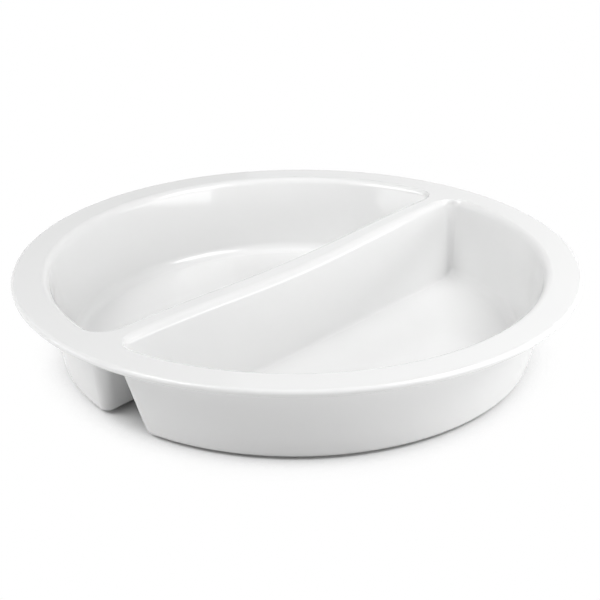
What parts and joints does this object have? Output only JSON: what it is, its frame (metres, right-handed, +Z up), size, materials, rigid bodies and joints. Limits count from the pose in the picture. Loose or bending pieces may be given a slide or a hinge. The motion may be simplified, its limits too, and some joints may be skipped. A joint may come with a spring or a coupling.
{
  "type": "divided food pan",
  "caption": "Round white porcelain food pan: a wide flat rim to hang it by and a hollow saddle divider between deep half-moon wells on ground foot rings.",
  "frame": {"origin": "on the table under the middle of the pan", "axes": "+Z up, +X along the divider, +Y towards the rear well"},
  "size_m": [0.39, 0.39, 0.065],
  "materials": {
    "glazed_porcelain": "neutral white, clear gloss glaze",
    "bare_porcelain": "unglazed, ground flat and matt"
  },
  "bodies": {
    "root": {"rim_flange": "glazed_porcelain", "divider_bridge": "glazed_porcelain", "rear_well": "glazed_porcelain", "front_well": "glazed_porcelain", "rear_foot_ring": "bare_porcelain", "front_foot_ring": "bare_porcelain"}
  },
  "joints": []
}
